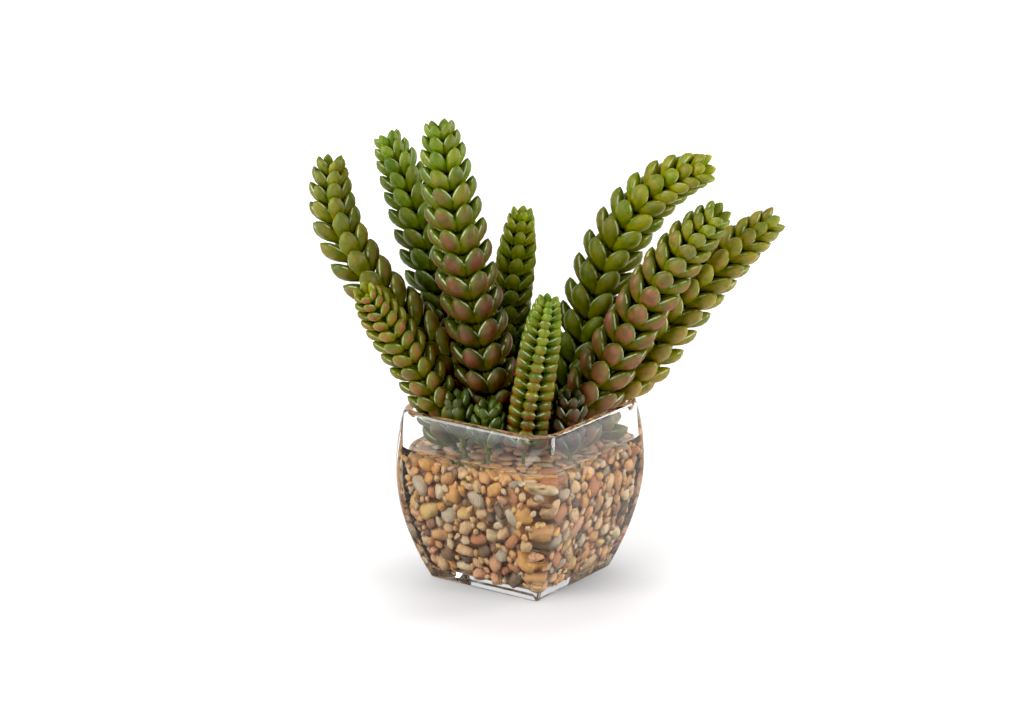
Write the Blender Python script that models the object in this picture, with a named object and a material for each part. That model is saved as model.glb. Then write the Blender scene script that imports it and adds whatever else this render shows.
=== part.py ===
"""Potted burro's tail: stems of fat moulded leaves on stalks, set in pebbles and clear resin in a glass pot.

Dimensions are in millimetres, and the meshes are in metres. The origin is the centre of the pot's flat
underside, +Z is up, and the pot's sides run along X and Y.
"""

import math
from dataclasses import dataclass

import bmesh
import bpy
import numpy as np
from mathutils import Matrix, Vector

MM = 0.001
GAP = 0.3  # clearance between two pieces that touch

# Glass pot: square, bowed sides, a narrow thick foot and a soft rolled rim.
POT_HEIGHT = 90.0
BASE_HALF = 33.0
BELLY_HALF = 47.5
BELLY_HEIGHT = 58.0
RIM_HALF = 46.6
FLARE_BELOW = 1.76  # how late the side turns upright below the belly
FLARE_ABOVE = 2.2
BASE_CORNER = 2.5
BELLY_CORNER = 8.5
RIM_CORNER = 15.0
FOOT_CHAMFER = 0.8
WALL = 4.5
FLOOR = 6.0
FLOOR_ROUND = 1.0
LIP = 1.8  # height of the rim's rolled edge
SIDE_LEVELS = (9.0, 19.0, 29.0, 39.0, 49.0, 58.0, 66.0, 74.0, 82.0)
CORNER_POINTS = 5

# Filling
PEBBLE_TOP = 64.5
RESIN_TOP = 69.0
LOOSE_PEBBLES = 12
PEBBLE_HALF_SIZES = (6.2, 4.6, 3.2)
PEBBLE_SEED = 5

# Stalks and the leaf sleeves threaded on them
FOOT_Z = 66.0  # the height at which each stalk's route starts
BURIED = 12.0
STALK_RADIUS = 1.2
HOLE_RADIUS = 1.85
SLEEVE_RADIUS = 2.9
SLEEVE_TIP_RADIUS = 1.3
BLIND_END = 16.0  # from a sleeve's tip down to the end of its stalk
STATION_SPACING = 12.0
LEAVES_FROM = 74.0  # no whorl sits lower than this
SLEEVE_JOINT = 0.4  # gap between a lower and an upper sleeve
COLUMNS = 6

# Leaves: a whorl's size depends on how far it is below its tip.
LEAF_LONGEST = 15.8
LEAF_SHORTEST = 8.3
LEAF_GROWTH = 24.0
SPACING_WIDEST = 11.8
SPACING_TIGHTEST = 5.5
SPACING_GROWTH = 28.0
BAND_SHARE = 0.2  # half the height of a leaf's foot, of the tightest spacing
LEAF_WIDTH = 0.57  # of its length
LEAF_THICKNESS = 0.43
SECTION_FILL = 0.72  # a four-sided leaf section inside the round one
WIDEST_AT = 0.55
SPLAY_GROWTH = 20.0
FITS_TO_TRY = ((1.0, 1.0), (1.0, 0.65), (0.85, 0.65), (0.85, 0.4), (0.7, 0.5), (0.55, 0.45))


@dataclass(frozen=True)
class Branch:
    """One stem. Angles are degrees: heading from +X, leans from upright at its foot, middle and tip."""

    name: str
    foot: tuple
    heading: float
    leans: tuple
    length: float
    veer: float = 0.0
    size: float = 1.0
    pitch: float = 1.0
    splay: tuple = (72.0, 26.0)
    twist: float = 0.25
    phase: float = 0.0
    short: bool = False


# Front stems come first, because a later stem's leaves give way to an earlier one's.
BRANCHES = (
    Branch("front_lime", (20, -24), -6, (3, 10, 12), 88, 1, 0.62, 0.74, (88.0, 62.0), 0.2, 51),
    Branch("front_left", (-17, -28), 196, (20, 31, 41), 103, 75, 0.85, phase=29),
    Branch("centre_tall", (-4, -13), 226, (7, 11.2, 8), 167.5, 0, 1.08, twist=0.05, phase=34),
    Branch("right_middle", (22, -4), 53, (36, 29, 46), 150, -48, 1.06, phase=44),
    Branch("left_tall", (-24, -6), 258, (-2, 43.5, -7), 166, -86, 1.03, phase=57),
    Branch("right_tall", (7, 10), 81, (40, 18, 74), 170, -72, 1.12, twist=0.1, phase=21),
    Branch("right_outer", (17, 20), 41, (46, 36, 55), 151, -8, 1.04, phase=25),
    Branch("back_short", (-9, 16), 167, (30, -3, -8), 116.5, 18, 0.84, twist=0.1, phase=54),
    Branch("back_left", (-23, 7), 210, (28, 16, 29), 158.5, -28, 1.0, twist=0.1, phase=33),
    Branch("filler_left", (-10, -32), 250, (6, 10, 14), 31, 0, 1.0, short=True),
    Branch("filler_middle", (5, -33), 290, (4, 8, 10), 29, 0, 0.95, short=True, phase=30),
    Branch("filler_right", (34, -9), 330, (2, 6, 10), 33, 0, 1.0, short=True, phase=15),
    Branch("filler_rim", (-31, -22), 205, (8, 22, 34), 27, 0, 0.9, short=True, phase=20),
)


# ---------------------------------------------------------------- pot profile


def outer_half(z):
    """Half the pot's width at height z."""
    if z < BELLY_HEIGHT:
        return BELLY_HALF - (BELLY_HALF - BASE_HALF) * (1 - z / BELLY_HEIGHT) ** FLARE_BELOW
    rise = (z - BELLY_HEIGHT) / (POT_HEIGHT - BELLY_HEIGHT)
    return BELLY_HALF - (BELLY_HALF - RIM_HALF) * rise**FLARE_ABOVE


def corner_radius(z):
    """Radius of the pot's vertical corners at height z."""
    if z < BELLY_HEIGHT:
        return BASE_CORNER + (BELLY_CORNER - BASE_CORNER) * z / BELLY_HEIGHT
    rise = (z - BELLY_HEIGHT) / (POT_HEIGHT - BELLY_HEIGHT)
    return BELLY_CORNER + (RIM_CORNER - BELLY_CORNER) * rise**1.5


def rounded_square(z, inset=0.0, height=None):
    """Ring of points round the pot at height z, moved in by inset, and put at another height if given."""
    half = outer_half(z) - inset
    radius = max(corner_radius(z) - 0.3 * inset, 1.0)
    level = z if height is None else height
    ring = []
    for quarter in range(4):
        middle = math.radians(45 + 90 * quarter)
        centre_x = math.copysign(half - radius, math.cos(middle))
        centre_y = math.copysign(half - radius, math.sin(middle))
        for step in range(CORNER_POINTS):
            angle = math.radians(90 * quarter + 90 * step / (CORNER_POINTS - 1))
            ring.append((centre_x + radius * math.cos(angle), centre_y + radius * math.sin(angle), level))
    return ring


def distance_to_wall(points):
    """Distance from each point to the glass wall, 0 inside the glass."""
    gaps = np.empty(len(points))
    for index, (x, y, z) in enumerate(points):
        level = min(z, POT_HEIGHT)
        half, radius = outer_half(level), corner_radius(level)
        over_x = max(abs(x) - half + radius, 0)
        over_y = max(abs(y) - half + radius, 0)
        outside = math.hypot(over_x, over_y) - radius
        if over_x == 0 and over_y == 0:
            outside = max(abs(x), abs(y)) - half
        sideways = max(outside, -WALL - outside, 0)
        gaps[index] = math.hypot(sideways, max(z - POT_HEIGHT, 0))
    return gaps


# ---------------------------------------------------------------- stem routes


class Stem:
    """A branch's route: centre, direction and two side vectors at any distance along it."""

    def __init__(self, branch):
        self.branch = branch
        steps = int(branch.length) + 1
        self.s = np.linspace(0, branch.length, steps)
        share = self.s / branch.length
        at_foot, at_middle, at_tip = branch.leans
        from_foot = at_foot * (1 - share) * (1 - 2 * share)
        from_middle = at_middle * 4 * share * (1 - share)
        from_tip = at_tip * share * (2 * share - 1)
        lean = np.radians(from_foot + from_middle + from_tip)
        heading = np.radians(branch.heading + branch.veer * share)
        self.axis = np.column_stack(
            (np.sin(lean) * np.cos(heading), np.sin(lean) * np.sin(heading), np.cos(lean))
        )
        moves = (self.axis[1:] + self.axis[:-1]) / 2 * np.diff(self.s)[:, None]
        self.centre = np.vstack(([0, 0, 0], np.cumsum(moves, axis=0))) + (*branch.foot, FOOT_Z)
        self.side = self._carried_side()

    def _carried_side(self):
        """A side vector carried along the route without turning about it."""
        sides = []
        side = np.array([1.0, 0.0, 0.0])
        for axis in self.axis:
            side = side - axis * (side @ axis)
            side = side / np.linalg.norm(side)
            sides.append(side)
        return np.array(sides)

    def frame(self, s):
        """(centre, axis, side, other side) at distance s, straight on below the foot."""
        if s < 0:
            centre = self.centre[0] + self.axis[0] * s
            axis, side = self.axis[0], self.side[0]
        else:
            centre = np.array([np.interp(s, self.s, column) for column in self.centre.T])
            axis = np.array([np.interp(s, self.s, column) for column in self.axis.T])
            side = np.array([np.interp(s, self.s, column) for column in self.side.T])
        axis = axis / np.linalg.norm(axis)
        side = side - axis * (side @ axis)
        side = side / np.linalg.norm(side)
        return centre, axis, side, np.cross(axis, side)

    def outward(self, s, column):
        """Unit vector out of the stem through the middle of a leaf column."""
        _, _, side, other = self.frame(s)
        angle = math.radians(360 / COLUMNS * column + self.branch.twist * s + self.branch.phase)
        return math.cos(angle) * side + math.sin(angle) * other

    def ring(self, s, radius):
        """Six-sided ring with a corner between each two leaf columns."""
        centre = self.frame(s)[0]
        return [centre + radius * self.outward(s, column - 0.5) for column in range(COLUMNS)]

    def where_z(self, z):
        """Distance along the route at which it first reaches height z."""
        return float(self.s[np.argmax(self.centre[:, 2] >= z)])

    def whorls(self):
        """Distances of the leaf whorls along the route, lowest first."""
        size = self.branch.size
        places = []
        below_tip = 1.6 * size
        while self.branch.length - below_tip > self.where_z(LEAVES_FROM):
            places.append(self.branch.length - below_tip)
            growth = math.exp(-below_tip / (SPACING_GROWTH * size))
            spacing = SPACING_WIDEST - (SPACING_WIDEST - SPACING_TIGHTEST) * growth
            below_tip += spacing * size * self.branch.pitch
        return places[::-1]

    def sleeve_radius(self, s):
        below_tip = self.branch.length - s
        return SLEEVE_TIP_RADIUS + (SLEEVE_RADIUS - SLEEVE_TIP_RADIUS) * (1 - math.exp(-below_tip / 8))


class Leaf:
    """A curved leaf: it leaves the sleeve at one angle and turns up towards the stem's tip."""

    def __init__(self, stem, s, column, shrink, lift):
        branch = stem.branch
        below_tip = branch.length - s
        centre, axis, _, _ = stem.frame(s)
        out = stem.outward(s, column)
        self.axis = axis
        opened = 1 - math.exp(-below_tip / (SPLAY_GROWTH * branch.size))
        first = math.radians(branch.splay[0] * (0.72 + 0.28 * opened) * lift)
        last = math.radians(branch.splay[1] * (0.5 + 0.5 * opened) * lift)
        growth = math.exp(-below_tip / (LEAF_GROWTH * branch.size))
        self.length = (LEAF_LONGEST - (LEAF_LONGEST - LEAF_SHORTEST) * growth) * branch.size * shrink
        self.width = LEAF_WIDTH * self.length
        self.thickness = LEAF_THICKNESS * self.length
        self.root = centre + out * stem.sleeve_radius(s) * math.cos(math.pi / COLUMNS)
        self.bend = self.root + (out * math.sin(first) + axis * math.cos(first)) * self.length / 2
        self.tip = self.bend + (out * math.sin(last) + axis * math.cos(last)) * self.length / 2
        self.across = np.cross(axis, out)

    def point(self, t):
        return (1 - t) ** 2 * self.root + 2 * t * (1 - t) * self.bend + t * t * self.tip

    def widest_corner(self, spot):
        """The corner of the four-sided widest section that answers to a corner of the sleeve's facet."""
        along = (1 - WIDEST_AT) * (self.bend - self.root) + WIDEST_AT * (self.tip - self.bend)
        inner = np.cross(along / np.linalg.norm(along), self.across)
        right = math.copysign(1, (spot - self.root) @ self.across)
        up = math.copysign(1, (spot - self.root) @ self.axis)
        half_width = self.across * right * self.width / 2
        half_thick = inner * up * self.thickness / 2
        return self.point(WIDEST_AT) + (half_width + half_thick) * SECTION_FILL

    def balls(self):
        """Centres and radii of the balls that stand for the leaf in the clearance test."""
        spots = np.array([self.point(t) for t in (0.3, WIDEST_AT, 0.8, 1.0)])
        return spots, self.width * np.array([0.34, 0.45, 0.32, 0.06])


def settled_leaves(stems):
    """Leaves of each stem by (whorl, column). A crowded leaf is lifted or made smaller, or left out."""
    sleeve_spots, sleeve_radii, sleeve_owner = [], [], []
    for owner, stem in enumerate(stems):
        for s in np.arange(0, stem.branch.length, 2.0):
            sleeve_spots.append(stem.frame(s)[0])
            sleeve_radii.append(SLEEVE_RADIUS)
            sleeve_owner.append(owner)
    spots, radii = np.array(sleeve_spots), np.array(sleeve_radii)
    owners = np.array(sleeve_owner)
    everything = []
    for owner, stem in enumerate(stems):
        kept = {}
        for whorl, s in enumerate(stem.whorls()):
            for column in range(COLUMNS):
                for shrink, lift in FITS_TO_TRY:
                    leaf = Leaf(stem, s, column, shrink, lift)
                    centres, sizes = leaf.balls()
                    if (centres[:, 2] - sizes < RESIN_TOP + GAP).any():
                        continue
                    if (distance_to_wall(centres) < sizes + GAP).any():
                        continue
                    others = owners != owner
                    apart = np.linalg.norm(centres[:, None] - spots[others][None], axis=2)
                    if (apart < sizes[:, None] + radii[others][None] + GAP).any():
                        continue
                    kept[whorl, column] = leaf
                    spots = np.vstack((spots, centres))
                    radii = np.concatenate((radii, sizes))
                    owners = np.concatenate((owners, np.full(len(sizes), owner)))
                    break
        everything.append(kept)
    return everything


# ---------------------------------------------------------------- mesh building


def material(name, colour, roughness, transmission=0.0):
    finish = bpy.data.materials.new(name)
    finish.use_nodes = True
    shader = finish.node_tree.nodes["Principled BSDF"]
    shader.inputs["Base Color"].default_value = (*colour, 1)
    shader.inputs["Roughness"].default_value = roughness
    shader.inputs["Metallic"].default_value = 0.0
    shader.inputs["Transmission Weight"].default_value = transmission
    finish.diffuse_color = (*colour, 1)
    return finish


def loft(shape, rings, looped=False):
    """Joins rings of points into walls, which it returns. Ends are capped, or joined together when looped."""
    loops = [[shape.verts.new([value * MM for value in point]) for point in ring] for ring in rings]
    pairs = list(zip(loops, loops[1:]))
    if looped:
        pairs.append((loops[-1], loops[0]))
    walls = []
    for lower, upper in pairs:
        count = len(lower)
        walls.append(
            [
                shape.faces.new((lower[i], lower[(i + 1) % count], upper[(i + 1) % count], upper[i]))
                for i in range(count)
            ]
        )
    if not looped:
        shape.faces.new(loops[0][::-1])
        shape.faces.new(loops[-1])
    return walls


def finished(name, shape, finish, parent):
    """Turns a bmesh into a named object with its faces pointing out."""
    bmesh.ops.recalc_face_normals(shape, faces=shape.faces[:])
    mesh = bpy.data.meshes.new(name)
    shape.to_mesh(mesh)
    shape.free()
    mesh.materials.append(finish)
    mesh.shade_smooth()
    mesh.set_sharp_from_angle(angle=math.radians(35))
    piece = bpy.data.objects.new(name, mesh)
    piece.parent = parent
    bpy.context.scene.collection.objects.link(piece)
    return piece


def glass_pot(finish, parent):
    shape = bmesh.new()
    outside = [rounded_square(0.0, FOOT_CHAMFER), rounded_square(FOOT_CHAMFER)]
    outside += [rounded_square(z) for z in SIDE_LEVELS]
    top = POT_HEIGHT
    lip = [
        rounded_square(top - LIP, 0.0),
        rounded_square(top, 0.5, top - 0.5),
        rounded_square(top, LIP, top),
        rounded_square(top, WALL - LIP, top),
        rounded_square(top, WALL - 0.5, top - 0.5),
        rounded_square(top - LIP, WALL),
    ]
    inside = [rounded_square(z, WALL) for z in reversed(SIDE_LEVELS)]
    floor = [
        rounded_square(FLOOR + FLOOR_ROUND, WALL + 0.6),
        rounded_square(FLOOR, WALL + 2.2),
    ]
    loft(shape, outside + lip + inside + floor)
    return finished("glass_pot", shape, finish, parent)


def filling(name, low, high, finish, parent):
    """A slice of the pot's inside from low to high, a gap clear of the glass."""
    shape = bmesh.new()
    clear = WALL + GAP * 1.15
    if low < FLOOR + FLOOR_ROUND:
        rings = [
            rounded_square(FLOOR, clear + 2.4, low),
            rounded_square(FLOOR + FLOOR_ROUND, clear + 0.8, low + FLOOR_ROUND),
        ]
    else:
        rings = [rounded_square(low, clear)]
    rings += [rounded_square(z, clear) for z in SIDE_LEVELS if low < z < high]
    rings.append(rounded_square(high, clear))
    loft(shape, rings)
    return finished(name, shape, finish, parent)


def stalk_stations(stem):
    """Distances at which the stalk and the sleeves' hole have their rings."""
    top = stem.branch.length - (8.0 if stem.branch.short else BLIND_END)
    steps = math.ceil(top / STATION_SPACING)
    return [top * step / steps for step in range(steps + 1)]


def stalk(stem, finish, parent):
    shape = bmesh.new()
    stations = [-BURIED] + stalk_stations(stem)
    loft(shape, [stem.ring(s, STALK_RADIUS) for s in stations])
    return finished("stalk_" + stem.branch.name, shape, finish, parent)


def socket_cutter(shape, stem):
    """Adds the stalk's hole through resin and pebbles to a cutter."""
    clear = STALK_RADIUS + GAP / math.cos(math.pi / COLUMNS)
    above_resin = RESIN_TOP + STATION_SPACING
    stations = [-BURIED - GAP] + [s for s in stalk_stations(stem) if stem.frame(s)[0][2] < above_resin]
    loft(shape, [stem.ring(s, clear) for s in stations])


def sleeve(stem, leaves, name, low, high, closed_tip, finish, parent):
    """A tube of leaves from distance low to high along the stem."""
    whorls = stem.whorls()
    held = [index for index, s in enumerate(whorls) if low < s < high]
    shape = bmesh.new()
    band = BAND_SHARE * SPACING_TIGHTEST * stem.branch.size * stem.branch.pitch
    edges = [low]
    for index in held:
        edges += [whorls[index] - band, whorls[index] + band]
    edges.append(high)
    outside = [stem.ring(s, stem.sleeve_radius(s)) for s in edges]
    hole_top = stem.branch.length - (7.2 if stem.branch.short else BLIND_END - 0.8)
    hole = [low] + [s for s in stalk_stations(stem) if low + 1 < s < min(high, hole_top) - 1]
    hole.append(hole_top if closed_tip else high)
    inside = [stem.ring(s, HOLE_RADIUS) for s in reversed(hole)]
    if closed_tip:
        walls = loft(shape, inside + outside)
        first_band = len(inside) + 1
    else:
        walls = loft(shape, outside + inside, looped=True)
        first_band = 1
    for order, index in enumerate(held):
        for column in range(COLUMNS):
            leaf = leaves.get((index, column))
            if leaf:
                grow(shape, walls[first_band + 2 * order][column], leaf)
    return finished(name, shape, finish, parent)


def grow(shape, facet, leaf):
    """Extrudes a facet of the sleeve into a leaf with one wide section and a pointed tip."""
    wide = bmesh.ops.extrude_discrete_faces(shape, faces=[facet])["faces"][0]
    for vert in wide.verts:
        vert.co = leaf.widest_corner(np.array(vert.co) / MM) * MM
    point = bmesh.ops.extrude_discrete_faces(shape, faces=[wide])["faces"][0]
    bmesh.ops.pointmerge(shape, verts=point.verts[:], merge_co=leaf.tip * MM)


def pebble_places(stems):
    """Places, turns and sizes of the loose top pebbles, clear of the stalks, the glass and each other."""
    draw = np.random.default_rng(PEBBLE_SEED)
    stalks = np.array([stem.frame(s)[0] for stem in stems for s in np.arange(-BURIED, 12, 1.5)])
    near_top = stalks[np.abs(stalks[:, 2] - PEBBLE_TOP) < PEBBLE_HALF_SIZES[2] + 3]
    reach = PEBBLE_HALF_SIZES[0]
    places = []
    while len(places) < LOOSE_PEBBLES:
        limit = outer_half(PEBBLE_TOP) - WALL - reach - 1.5
        x, y = draw.uniform(-limit, limit, 2)
        turn = draw.uniform(0, math.pi)
        size = draw.uniform(0.75, 1.0)
        off_stalks = np.hypot(near_top[:, 0] - x, near_top[:, 1] - y).min()
        off_others = min((math.hypot(px - x, py - y) for px, py, _, _ in places), default=99)
        if off_stalks > reach * size + STALK_RADIUS + 1 and off_others > 2 * reach + 1:
            places.append((x, y, turn, size))
    return places


def add_pebble(shape, place, grown=0.0):
    """Adds one pebble, or its clearance when grown, to a bmesh: a flattened ball in the bed's surface."""
    x, y, turn, size = place
    ball = bmesh.ops.create_icosphere(shape, subdivisions=1, radius=MM)["verts"]
    scale = Vector([half * size + grown for half in PEBBLE_HALF_SIZES])
    bmesh.ops.scale(shape, verts=ball, vec=scale)
    bmesh.ops.rotate(shape, verts=ball, matrix=Matrix.Rotation(turn, 3, "Z"))
    bmesh.ops.translate(shape, verts=ball, vec=Vector((x, y, PEBBLE_TOP)) * MM)


def cut(piece, cutter):
    boolean = piece.modifiers.new("clearances", "BOOLEAN")
    boolean.operation = "DIFFERENCE"
    boolean.solver = "EXACT"
    boolean.object = cutter


def main():
    for old in list(bpy.data.objects):
        bpy.data.objects.remove(old)
    root = bpy.data.objects.new("pot_centre", None)
    bpy.context.scene.collection.objects.link(root)

    glass = material("clear_glass", (0.95, 0.97, 0.96), 0.02, 1.0)
    resin = material("clear_resin", (0.9, 0.93, 0.9), 0.03, 1.0)
    stone = material("river_pebble", (0.55, 0.4, 0.25), 0.45)
    stem_green = material("stalk_green", (0.24, 0.3, 0.06), 0.5)
    leaf_green = material("leaf_green", (0.14, 0.27, 0.05), 0.38)

    stems = [Stem(branch) for branch in BRANCHES]
    places = pebble_places(stems)

    glass_pot(glass, root)
    bed = filling("pebble_bed", FLOOR + GAP, PEBBLE_TOP, stone, root)
    cover = filling("clear_resin", PEBBLE_TOP + GAP, RESIN_TOP, resin, root)

    clearances = bmesh.new()
    for stem in stems:
        socket_cutter(clearances, stem)
    for place in places:
        add_pebble(clearances, place, grown=GAP * 1.5)
    cutter = finished("filling_cutter", clearances, stone, root)
    cutter.hide_render = True
    cutter.display_type = "WIRE"
    cut(bed, cutter)
    cut(cover, cutter)

    for number, place in enumerate(places, start=1):
        shape = bmesh.new()
        add_pebble(shape, place)
        finished(f"pebble_{number:02d}", shape, stone, root)

    for stem, leaves in zip(stems, settled_leaves(stems)):
        stalk(stem, stem_green, root)
        name = "leaves_" + stem.branch.name
        start = stem.where_z(LEAVES_FROM) - 1.8
        end = stem.branch.length
        if stem.branch.short:
            sleeve(stem, leaves, name, start, end, True, leaf_green, root)
            continue
        whorls = stem.whorls()
        joint = (whorls[len(whorls) // 2 - 1] + whorls[len(whorls) // 2]) / 2
        sleeve(stem, leaves, name + "_lower", start, joint - SLEEVE_JOINT / 2, False, leaf_green, root)
        sleeve(stem, leaves, name + "_upper", joint + SLEEVE_JOINT / 2, end, True, leaf_green, root)


main()
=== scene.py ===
# %% [markdown]
# # A potted burro's tail
#
# The object is an ornament: plump-leaved stems, moulded in soft plastic, stand in a square glass pot that is
# filled with river pebbles and clear casting resin. This lesson builds what the eye sees of it, piece by
# piece, round a finished construction model that holds every size.
#
# We start by loading that model. The pot's size and the levels of the pebbles and the resin come from it, and
# the stems follow the same table that it was grown from, so nothing has to be fitted afterwards.

# %% Load the construction model
import math
from dataclasses import dataclass

import bmesh
import bpy
import numpy as np
from mathutils import Matrix, Vector, noise


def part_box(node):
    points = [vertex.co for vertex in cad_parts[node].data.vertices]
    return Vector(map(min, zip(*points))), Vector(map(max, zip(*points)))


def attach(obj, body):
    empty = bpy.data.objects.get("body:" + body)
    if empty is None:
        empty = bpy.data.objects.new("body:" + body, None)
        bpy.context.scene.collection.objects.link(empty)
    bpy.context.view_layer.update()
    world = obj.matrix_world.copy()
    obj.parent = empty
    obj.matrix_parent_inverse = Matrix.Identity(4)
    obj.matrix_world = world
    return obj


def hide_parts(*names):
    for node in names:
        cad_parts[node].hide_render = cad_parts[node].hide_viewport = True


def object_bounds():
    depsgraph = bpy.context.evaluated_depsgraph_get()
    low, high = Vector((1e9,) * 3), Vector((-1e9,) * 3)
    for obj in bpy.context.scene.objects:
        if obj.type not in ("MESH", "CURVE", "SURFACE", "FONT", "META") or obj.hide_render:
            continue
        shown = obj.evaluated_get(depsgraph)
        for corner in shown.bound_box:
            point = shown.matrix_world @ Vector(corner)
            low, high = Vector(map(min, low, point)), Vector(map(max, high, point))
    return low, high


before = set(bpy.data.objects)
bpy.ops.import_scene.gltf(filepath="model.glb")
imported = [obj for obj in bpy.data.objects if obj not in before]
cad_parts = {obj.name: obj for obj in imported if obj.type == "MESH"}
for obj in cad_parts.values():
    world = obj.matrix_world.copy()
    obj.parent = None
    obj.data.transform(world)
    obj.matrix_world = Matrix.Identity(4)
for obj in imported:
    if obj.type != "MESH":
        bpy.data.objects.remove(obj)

CAD_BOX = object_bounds()
MM = 0.001
print("pieces in the model:", len(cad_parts))

# %% [markdown]
# ## The camera
#
# A long lens from well back keeps the pot's sides nearly parallel, as in a catalogue picture. The camera
# looks a little down, past one corner of the pot, so that two glass sides and the mouth show.

# %% Place the camera
CAMERA_TURN = math.radians(35)
CAMERA_PITCH = math.radians(16.4)
CAMERA_DISTANCE = 1.707
AIM_SIDEWAYS = -0.0043
AIM_HEIGHT = 0.1103

to_right = Vector((math.cos(CAMERA_TURN), math.sin(CAMERA_TURN), 0))
to_front = Vector((math.sin(CAMERA_TURN), -math.cos(CAMERA_TURN), 0))
up = Vector((0, 0, 1))
backwards = to_front * math.cos(CAMERA_PITCH) + up * math.sin(CAMERA_PITCH)
aim = to_right * AIM_SIDEWAYS + up * AIM_HEIGHT

camera = bpy.data.objects.new("camera", bpy.data.cameras.new("camera"))
camera.data.lens = 120
camera.data.clip_end = 20
camera.location = aim + backwards * CAMERA_DISTANCE
camera.rotation_euler = (math.pi / 2 - CAMERA_PITCH, 0, CAMERA_TURN)
bpy.context.scene.collection.objects.link(camera)
bpy.context.scene.camera = camera

# %% [markdown]
# ## Finishes
#
# A finish is a small node tree. A few helpers keep the trees readable: add_node adds a node with its values
# set or linked, step_up makes a smooth step, times and plus join two values, and mixed blends two colours.


# %% Node helpers
def new_finish(name):
    finish = bpy.data.materials.new(name)
    finish.use_nodes = True
    tree = finish.node_tree
    return finish, tree, tree.nodes["Principled BSDF"]


def add_node(tree, kind, values=(), **settings):
    """Adds a node, sets its settings, and sets or links the inputs given as (socket, value or output)."""
    node = tree.nodes.new(kind)
    for setting, value in settings.items():
        setattr(node, setting, value)
    for socket, value in values:
        if isinstance(value, bpy.types.NodeSocket):
            tree.links.new(value, node.inputs[socket])
        else:
            node.inputs[socket].default_value = value
    return node


def step_up(tree, value, low, high, top=1.0):
    """Smooth rise from 0 to top while value goes from low to high."""
    values = [("Value", value), ("From Min", low), ("From Max", high), ("To Max", top)]
    return add_node(tree, "ShaderNodeMapRange", values, interpolation_type="SMOOTHSTEP").outputs["Result"]


def times(tree, first, second):
    return add_node(tree, "ShaderNodeMath", [(0, first), (1, second)], operation="MULTIPLY").outputs[0]


def plus(tree, first, second):
    """The sum of two values, at most 1."""
    values = [(0, first), (1, second)]
    return add_node(tree, "ShaderNodeMath", values, operation="ADD", use_clamp=True).outputs[0]


def mixed(tree, factor, first, second, blend="MIX"):
    """Blends two colours, each a node's output or three amounts of light."""
    node = add_node(tree, "ShaderNodeMix", data_type="RGBA", blend_type=blend)
    for index, value in ((0, factor), (6, first), (7, second)):
        if isinstance(value, bpy.types.NodeSocket):
            tree.links.new(value, node.inputs[index])
        elif index:
            node.inputs[index].default_value = (*value, 1)
        else:
            node.inputs[index].default_value = value
    return node.outputs[2]


def linear(colour):
    """A screen colour as the amounts of light that the renderer works with."""
    return [((value + 0.055) / 1.055) ** 2.4 if value > 0.04045 else value / 12.92 for value in colour]


def object_noise(tree, scale, detail=2.0, rough=0.5):
    place = add_node(tree, "ShaderNodeTexCoord").outputs["Object"]
    values = [("Vector", place), ("Scale", scale), ("Detail", detail), ("Roughness", rough)]
    return add_node(tree, "ShaderNodeTexNoise", values).outputs["Fac"]


# %% [markdown]
# ## A ring helper for the pot and the resin
#
# The pot is a stack of rings, each a square with rounded corners. Blender can grow such a wall by itself: we
# extrude the open edge of the last ring and move the new vertices to the next ring. The ring is made of
# quarters, each a corner arc and a straight side.

# %% Pot shape
POT_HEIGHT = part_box("glass_pot")[1][2] / MM
BASE_HALF = 33.0
BELLY_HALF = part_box("glass_pot")[1][0] / MM
BELLY_HEIGHT = 58.0
RIM_HALF = 46.6
FLARE_BELOW = 1.76
FLARE_ABOVE = 2.2
BASE_CORNER = 2.5
BELLY_CORNER = 8.5
RIM_CORNER = 15.0
FOOT_CHAMFER = 0.8
WALL = 4.5
FLOOR = 6.0
LIP = 2.2
ARC_STEPS = 10
SIDE_STEPS = 9


def outer_half(z):
    """Half the pot's width at height z."""
    if z < BELLY_HEIGHT:
        return BELLY_HALF - (BELLY_HALF - BASE_HALF) * (1 - z / BELLY_HEIGHT) ** FLARE_BELOW
    rise = (z - BELLY_HEIGHT) / (POT_HEIGHT - BELLY_HEIGHT)
    return BELLY_HALF - (BELLY_HALF - RIM_HALF) * rise**FLARE_ABOVE


def corner_radius(z):
    if z < BELLY_HEIGHT:
        return BASE_CORNER + (BELLY_CORNER - BASE_CORNER) * z / BELLY_HEIGHT
    rise = (z - BELLY_HEIGHT) / (POT_HEIGHT - BELLY_HEIGHT)
    return BELLY_CORNER + (RIM_CORNER - BELLY_CORNER) * rise**1.5


def square_ring(z, inset=0.0, height=None):
    """Spots round the pot at height z, moved in by inset, and put at another height if given. In metres."""
    half = outer_half(z) - inset
    radius = max(corner_radius(z) - 0.3 * inset, 1.0)
    level = z if height is None else height
    spots = []
    for quarter in range(4):
        turn = Matrix.Rotation(math.radians(90 * quarter), 2)
        for step in range(ARC_STEPS):
            angle = math.radians(90 * step / ARC_STEPS)
            x = half - radius + radius * math.cos(angle)
            y = half - radius + radius * math.sin(angle)
            spots.append(turn @ Vector((x, y)))
        for step in range(SIDE_STEPS):
            along = (half - radius) * (1 - 2 * step / SIDE_STEPS)
            spots.append(turn @ Vector((along, half)))
    return [Vector((spot.x, spot.y, level)) * MM for spot in spots]


def first_ring(shape, spots):
    made = bmesh.ops.create_circle(shape, segments=len(spots), radius=MM)["verts"]
    for vert, spot in zip(made, spots):
        vert.co = spot
    return made


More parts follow.
